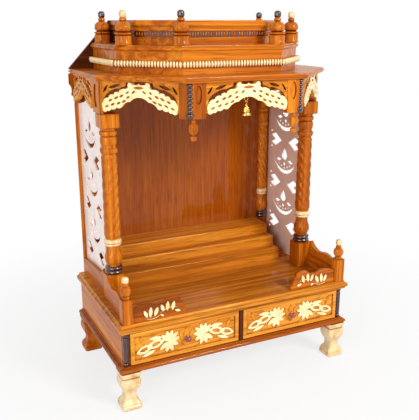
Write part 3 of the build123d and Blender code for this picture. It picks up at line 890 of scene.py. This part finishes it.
# %% [markdown]
# Between the bays a post hangs from the cornice. Its face has an oval hollow, a dark beaded
# rod stands on its corner, and a turned drop hangs under it. The beads could be seven balls,
# but on the real rod they are turned from one stick, so one outline goes round them all.

# %% Hanging posts
HOOD_CORNER = (134.0, -5.0)
POST_LOW = 640.0
DROP_TIP = 593.5
BEAD = 6.5
BEADS = 7


def hanging_post(shape):
    """Post body, its hollowed front face and the turned drop."""
    x, y = HOOD_CORNER
    plan = ((x - 36, y + 3), (x - 4, y + 3), (x + 1, y + 4), (x + 17, y + 18), (x + 6, y + 29),
            (x - 36, y + 18))
    prism(shape, plan, POST_LOW, CANOPY, 0.6)
    face = outline((-16, POST_LOW), (16, POST_LOW), (16, CANOPY), (-16, CANOPY))
    hollow = oval(0, CANOPY - 25, 7, 19, 24)
    sawn(shape, wall(x - 20, y + 3, -90), [face, hollow], 3.0, 0.5)
    tip = DROP_TIP
    drop = (
        (2, tip), (6.5, tip + 6, 2.0), (3.5, tip + 11.5, 2.0), (3.5, tip + 13),
        (7.5, tip + 17, 0.4), (10, tip + 30, 1.0), (4.5, tip + 38.5, 1.5), (4.5, tip + 41),
        (8, POST_LOW, -1.5),
    )
    turned(shape, x - 12, y + 10, drop, 28)


def beaded_rod(shape):
    """Dark rod of beads with a ball at its foot."""
    r = BEAD
    x, y = HOOD_CORNER
    low = POST_LOW + 2 * r
    pitch = (CANOPY - low) / BEADS
    points = [(0.5, POST_LOW - 1), (1.2 * r, POST_LOW + 6, 2.6), (0.6 * r, POST_LOW + 12.5, 2.6)]
    for number in range(BEADS):
        z = low + number * pitch
        points += [(0.6 * r, z), (r, z + 0.4 * pitch, 0.8), (0.6 * r, z + 0.8 * pitch, 0.8)]
    points.append((0.6 * r, CANOPY))
    turned(shape, x - 1.5, y + 3.5, points, 24)


make_pair("hanging_post", hanging_post, column_wood, instead_of="pendant_post")
make_pair("hanging_post_rod", beaded_rod, maroon)
print("hanging posts done")

# %% [markdown]
# The drawers carry gilded sprays: a lotus in the middle, and on each side a flower with open
# loops running out towards the ends. A carver overlaps the petals, and so does this cell: each
# is a leaf of its own, a hair higher than the one before, so that no two faces flicker.

# %% Drawer carving
DRAWER_MIDDLE = (140.0, 145.0)
PANEL_Y = 13.0
RELIEF = 2.6
LEAF_RELIEF = 2.0
OVERLAP = 0.05


def lotus_leaves():
    """Plain wood leaves in the corners and the lotus in the middle."""
    return both_ways(
        leaf((112, 27), (76, 22), 5, 3), leaf((112, 26), (101, 4), 3, 4),
        leaf((20, -26), (52, -23), 4, 1.5), leaf((112, -26), (82, -25), -0.5, 4.5),
    ) + [leaf((0, -20), (0, 25), 7, 7)] + both_ways(leaf((2, -20), (17, 20), 5, 5))


def spray():
    """Gilded spray on one side of the lotus: petals, and two loops with open middles."""
    flower = (44, 0)
    tips = (
        (16, 5), (21, 19), (34, 27), (48, 27), (61, 20), (20, -12), (34, -25), (50, -25),
        (66, -17),
    )
    petals = [[leaf(flower, tip, 5.5, 5.5)] for tip in tips]
    loops = [
        [leaf((54, 6), (97, -4), 10, 10), leaf((64, 4), (88, -2.5), 4.5, 4.5)],
        [leaf((82, 0), (121, -13), 10, 9), leaf((91, -3), (113, -10.5), 4.5, 4.5)],
        [leaf((58, 14), (92, 16), 5, 5)], [leaf((76, -13), (108, -24), 4.5, 4.5)],
    ]
    return petals + loops


def sprays(shape):
    """Both gilded sprays of the right-hand drawer."""
    x, z = DRAWER_MIDDLE
    place = wall(x, PANEL_Y, -90)
    for number, group in enumerate(spray()):
        for sign in (1, -1):
            loops = [[(sign * u, v + z) for u, v in loop] for loop in group]
            sawn(shape, place, loops, RELIEF, 0.7, lift=OVERLAP * number)


def leaves(shape):
    """Lotus and corner leaves of the right-hand drawer."""
    x, z = DRAWER_MIDDLE
    place = wall(x, PANEL_Y, -90)
    for number, loop in enumerate(lotus_leaves()):
        sawn(shape, place, [moved(loop, 0, z)], LEAF_RELIEF, 0.6, lift=0.04 * number)


drawer_bodies = ("drawer_left", "drawer_right")
make_pair("drawer_sprays", sprays, gilding, drawer_bodies)
make_pair("drawer_leaves", leaves, fret_wood, drawer_bodies)
print("drawers carved")

# %% [markdown]
# The stage has a low gallery: a post at each front corner with a turned top and a pale ball,
# and a wavy panel beside it that carries a gilded scroll of leaves. Wave and scroll are drawn
# like the frets, from a few arcs, because a sawn board shows only its outline.

# %% Gallery
POST_X = (266.0, 290.0)
POST_Y = (5.0, 29.0)
POST_TOP = 265.0
PANEL_LONG = 128.0
PANEL_HIGH = 46.0
PANEL_BACK = 21.5
PANEL_DEPTH = 9.0
SCROLL_RELIEF = 2.2
GALLERY_BALL = 7.5
BALL_RISE = 42.0


def gallery_post(shape):
    """Square post with a rounded bulb on a short neck."""
    brick(shape, POST_X, POST_Y, (STAGE, POST_TOP), 1.2)
    x, y = sum(POST_X) / 2, sum(POST_Y) / 2
    z = POST_TOP
    bulb = ((9, z), (9, z + 3), (6.5, z + 6), (12, z + 17, 1.8), (5.5, z + 29, 2.0),
            (6.5, z + 32, 0.8), (4, z + 35, 0.8))
    turned(shape, x, y, bulb, 32)


def ball(x, y, z, radius):
    """Drawing of a turned ball, a little taller than wide."""
    bulge = 0.41 * radius
    profile = ((0.3, z - radius), (radius, z, bulge), (0.3, z + 1.1 * radius, bulge))
    return lambda shape: turned(shape, x, y, profile, 24)


def gallery_panel(shape):
    """Wavy panel beside the post."""
    high, long = PANEL_HIGH, PANEL_LONG
    line = outline(
        (0, 0), (0, 0.66 * high), (-0.44 * long, 0.72 * high, 0.14 * high),
        (-0.58 * long, 0.76 * high, -1.5), (-0.89 * long, 0.84 * high, 0.16 * high),
        (-0.89 * long, 0.68 * high, -1.5), (-0.95 * long, 0.42 * high, 2.0),
        (-long, 0.12 * high, -2.0), (-long, 0),
    )
    place = wall(POST_X[0], PANEL_BACK, -90)
    sawn(shape, place, [moved(line, 0, STAGE)], PANEL_DEPTH, 0.8)


def scroll(shape):
    """Gilded scroll of leaves on the wavy panel."""
    place = wall(POST_X[0], PANEL_BACK - PANEL_DEPTH, -90)
    stem = [leaf((-24, 8), (-66, 10), -7, 9), leaf((-62, 9), (-108, 16), 9, -7)]
    tips = (
        ((-34, 6), (-26, 24), 4, 4), ((-40, 5), (-42, 30), 4.5, 4.5),
        ((-50, 6), (-58, 27), 4.5, 4.5), ((-72, 14), (-66, 31), 4, 4),
        ((-80, 14), (-82, 36), 4.5, 4.5), ((-92, 13), (-97, 34), 4.5, 4.5),
        ((-64, 8), (-72, 2.5), 2.5, 2.5), ((-98, 12), (-112, 8), 3, 3),
    )
    for number, loop in enumerate(stem + [leaf(*row) for row in tips]):
        sawn(shape, place, [moved(loop, 0, STAGE)], SCROLL_RELIEF, 0.6, lift=OVERLAP * number)


make_pair("gallery_corner_post", gallery_post, column_wood,
          instead_of="gallery_post")
post_middle = (sum(POST_X) / 2, sum(POST_Y) / 2)
gallery_ball = ball(*post_middle, POST_TOP + BALL_RISE, GALLERY_BALL)
make_pair("gallery_ball", gallery_ball, foot_gilding)
panel_wood = wood("teak", "x", 1.9)
make_pair("wavy_panel", gallery_panel, panel_wood, instead_of="gallery_front")
make_pair("leaf_scroll", scroll, gilding)
print("gallery done")

# %% [markdown]
# Small things finish it: dark rods on the base corners, a pale reeded band and a row of teeth
# round the roof tiers, and six stout turned finials with balls. There are hundreds of reeds, so
# each is a small drawn-out ball of 80 faces, set by a loop along the tier's walls.

# %% Base rods, roof bands and finials
ROD_CENTRE = (283.5, 16.5)
ROD_BACKING = ((276, 14), (283, 14), (283, 22), (276, 22))
BALL_ON_FINIAL = (63.5, 7.7)


def corner_rod(shape):
    """Dark rod on a front corner of the base, with a bead at each end."""
    prism(shape, ROD_BACKING, 105, 185)
    turned(shape, *ROD_CENTRE, (
        (2, 105), (6.4, 109, 1.6), (3.5, 114, 1.6), (3.5, 115), (6.2, 117, 0.6), (6.2, 173),
        (3.5, 175, 0.6), (3.5, 176), (6.4, 180, 1.6), (3, 185, 1.6),
    ), 24)


def tier_walls(front, facet, side, stop):
    """Walls of a roof tier: middle x and y, facing, and length."""
    reach = side - facet
    middle = (facet + side) / 2
    return (
        (0, front, -90, 2 * facet),
        (middle, front + reach / 2, -45, reach * math.sqrt(2)),
        (-middle, front + reach / 2, -135, reach * math.sqrt(2)),
        (side, (front + reach + stop) / 2, 0, stop - front - reach),
        (-side, (front + reach + stop) / 2, 180, stop - front - reach),
    )


def reeds(plan, low, high, radius, pitch):
    """Drawing of a row of upright reeds round a roof tier."""
    size = Matrix.Diagonal((radius / 1000, (high - low) / 2000, radius / 1000, 1))

    def draw(shape):
        for x, y, facing, long in tier_walls(*plan):
            count = int((long - 2 * radius) / pitch)
            place = wall(x, y, facing, (low + high) / 2)
            for number in range(count + 1):
                along = (number - count / 2) * pitch / 1000
                spot = place @ Matrix.Translation((along, 0, 0)) @ size
                bmesh.ops.create_icosphere(shape, subdivisions=2, radius=1.0, matrix=spot)
    return draw


def dark_band(shape):
    """Thin dark strip behind the teeth of the top tier."""
    for x, y, facing, long in tier_walls(*TOP_TIER):
        low, high = DARK_BAND
        strip = outline((-long / 2, low), (long / 2, low), (long / 2, high), (-long / 2, high))
        sawn(shape, wall(x, y, facing), [strip], 0.8)


DARK_BAND = (801.0, 813.0)
LOWER_TIER = (50.0, 124.0, 238.0, 344.0)
TOP_TIER = (106.0, 99.7, 179.0, 344.0)
FINIALS = {"front": (117.0, 75.0), "side": (212.0, 166.0), "back": (212.0, 320.0)}
FINIAL_LOW = 784.0


def finial_body(x, y):
    """Drawing of a finial: drum, ring, onion bulb and neck."""
    z = FINIAL_LOW
    profile = (
        (18, z), (18.5, z + 3, 0.8), (17.5, z + 5), (18, z + 17), (15, z + 20, 0.8),
        (17.5, z + 22), (17.5, z + 25, 1.2), (12, z + 27), (17, z + 37, 2.2),
        (8, z + 48, 2.4), (6, z + 50), (8, z + 53, 1.0), (5.5, z + 57, 0.6), (5, z + 59),
    )
    return lambda shape: turned(shape, x, y, profile, 36)


make_one("base_corner_rods", twice(corner_rod), maroon,
         instead_of=("corner_strips",))
make_one("reeded_band", reeds(LOWER_TIER, 739, 753, 3.1, 7.1), gilding)
make_one("dark_band", dark_band, maroon)
make_one("band_teeth", reeds(TOP_TIER, 802, 812, 2.0, 6.4), column_wood)
for where, (x, y) in FINIALS.items():
    paint, slot = (foot_gilding, "gilded_wood") if where == "side" else (maroon, "maroon_wood")
    rise, radius = BALL_ON_FINIAL
    make_one(f"finial_{where}_bodies", twice(finial_body(x, y)), column_wood,
             instead_of=(f"finials_{where}",))
    make_one(f"finial_{where}_balls", twice(ball(x, y, FINIAL_LOW + rise, radius)), paint)
print("roof finished")

# %% [markdown]
# The feet are cut to the same curve from the front and from the side: a grooved cap, a full
# knee, a narrow waist and a toe that spreads out. A turned foot would be round, so a square
# plan with its corners cut is raised from level to level instead. The front pair is gilded.

# %% Feet
FOOT_CENTRE = (276.5, 23.5)
CORNER_CUT = 0.16
FOOT_CURVE = (
    (20.5, 0), (22.5, 2), (22.5, 9), (21, 11), (22, 13), (19, 19), (14, 25), (12.8, 33),
    (14, 42), (19, 50), (22, 59), (22.5, 68), (21, 76), (18.5, 78.5), (21.5, 81), (21.5, 85),
    (23, 86), (23, 92),
)


def foot(y):
    """Drawing of a foot at a distance from the front edge of the base."""
    flat = 1 - CORNER_CUT
    plan = (
        (1, -flat), (1, flat), (flat, 1), (-flat, 1), (-1, flat), (-1, -flat), (-flat, -1),
        (flat, -1),
    )
    return lambda shape: raised(shape, (FOOT_CENTRE[0], y), plan, FOOT_CURVE)


make_pair("gilded_foot", foot(FOOT_CENTRE[1]), foot_gilding,
          instead_of="foot_front")
make_pair("plain_foot", foot(BASE_DEPTH - FOOT_CENTRE[1]), column_wood,
          instead_of="foot_back")
print("feet set under the base")

# %% [markdown]
# The temple stands on a plain white floor in a pale room. More lamps would turn the background
# white, but would wash out the wood too. So the floor and the room show paper white only to
# the eye, and to the lacquer and the brass that mirror them, and the wood keeps its colour.

# %% Floor and room
FLOOR_REACH = 6.0
FADE = (0.3, 1.1)
FLOOR_WHITE = 0.76
ROOM_LIGHT = 0.44


def seen_or_mirrored(tree):
    """1 for a ray that meets the background by eye, in a mirror or through glass, else 0."""
    rays = add(tree, "ShaderNodeLightPath").outputs
    seen = rays["Is Camera Ray"]
    for ray in ("Is Glossy Ray", "Is Transmission Ray"):
        seen = add(tree, "ShaderNodeMath", {"operation": "MAXIMUM"}, _0=seen, _1=rays[ray])
    return seen


def floor_paper():
    """White paper that fades into the background away from the temple."""
    material, tree = new_material("floor_paper")
    place = add(tree, "ShaderNodeTexCoord").outputs["Object"]
    length = add(tree, "ShaderNodeVectorMath", {"operation": "LENGTH"}, _0=place)
    fade = add(
        tree, "ShaderNodeMapRange",
        Value=length.outputs["Value"], From_Min=FADE[0], From_Max=FADE[1], To_Min=FLOOR_WHITE,
    )
    share = add(tree, "ShaderNodeMath", TIMES, _0=fade, _1=seen_or_mirrored(tree))
    matte = add(tree, "ShaderNodeBsdfDiffuse", Color=linear("F4F4F4"))
    paper = add(tree, "ShaderNodeEmission", Color=linear("FFFFFF"), Strength=1.0)
    finish_material(tree, add(tree, "ShaderNodeMixShader", _0=share, _1=matte, _2=paper))
    return material


floor_mesh = bpy.data.meshes.new("floor")
shape = bmesh.new()
bmesh.ops.create_grid(shape, x_segments=1, y_segments=1, size=FLOOR_REACH)
shape.to_mesh(floor_mesh)
shape.free()
floor_mesh.materials.append(floor_paper())
floor = bpy.data.objects.new("floor", floor_mesh)
bpy.context.scene.collection.objects.link(floor)

world = bpy.data.worlds.new("pale_room")
bpy.context.scene.world = world
world.use_nodes = True
tree = world.node_tree
tree.nodes.clear()
strength = add(
    tree, "ShaderNodeMath", TIMES_PLUS,
    _0=seen_or_mirrored(tree), _1=1 - ROOM_LIGHT, _2=ROOM_LIGHT,
)
room = add(tree, "ShaderNodeBackground", Color=linear("FFFFFF"), Strength=strength)
add(tree, "ShaderNodeOutputWorld", Surface=room)
print("floor and room are white")

# %% [markdown]
# A large soft lamp from the front right shapes the columns, and a wider, weaker one from the
# left opens the shadows. A hard lamp would show each edge more, but would burn out the gilding.

# %% Lamps
def lamp(name, place, target, size, power):
    """Soft square lamp aimed at a point."""
    data = bpy.data.lights.new(name, "AREA")
    data.shape = "SQUARE"
    data.size = size
    data.energy = power
    item = bpy.data.objects.new(name, data)
    bpy.context.scene.collection.objects.link(item)
    item.location = place
    aim = Vector(target) - Vector(place)
    item.rotation_euler = aim.to_track_quat("-Z", "Y").to_euler()


lamp("key_lamp", (1.1, -2.5, 1.9), (0, 0, 0.45), 0.7, 60.0)
lamp("fill_lamp", (-2.0, -1.7, 1.1), (0, 0, 0.4), 1.2, 30.0)
print("two lamps set")

# %% [markdown]
# The camera stands where the photograph was taken from: left of the front, level with the
# finials. It could be placed by eye, but then nothing would line up, so its place, angle and
# lens were worked out from the temple's own corners.

# %% Camera
CAMERA_PLACE = (-0.6681, -1.3564, 0.8307)
CAMERA_TURN = math.radians(26.01)
CAMERA_DIP = math.radians(16.36)
FOCAL_PIXELS = 639.2
LONG_SIDE_PIXELS = 420.0
camera_data = bpy.data.cameras.new("camera")
camera_data.sensor_width = 36.0
camera_data.lens = FOCAL_PIXELS * camera_data.sensor_width / LONG_SIDE_PIXELS
camera = bpy.data.objects.new("camera", camera_data)
bpy.context.scene.collection.objects.link(camera)
camera.location = CAMERA_PLACE
forward = Vector((
    math.sin(CAMERA_TURN) * math.cos(CAMERA_DIP),
    math.cos(CAMERA_TURN) * math.cos(CAMERA_DIP),
    -math.sin(CAMERA_DIP),
))
camera.rotation_euler = forward.to_track_quat("-Z", "Y").to_euler()
bpy.context.scene.camera = camera
bpy.context.scene.view_settings.view_transform = "Standard"
print("lens in mm:", round(camera_data.lens, 2))
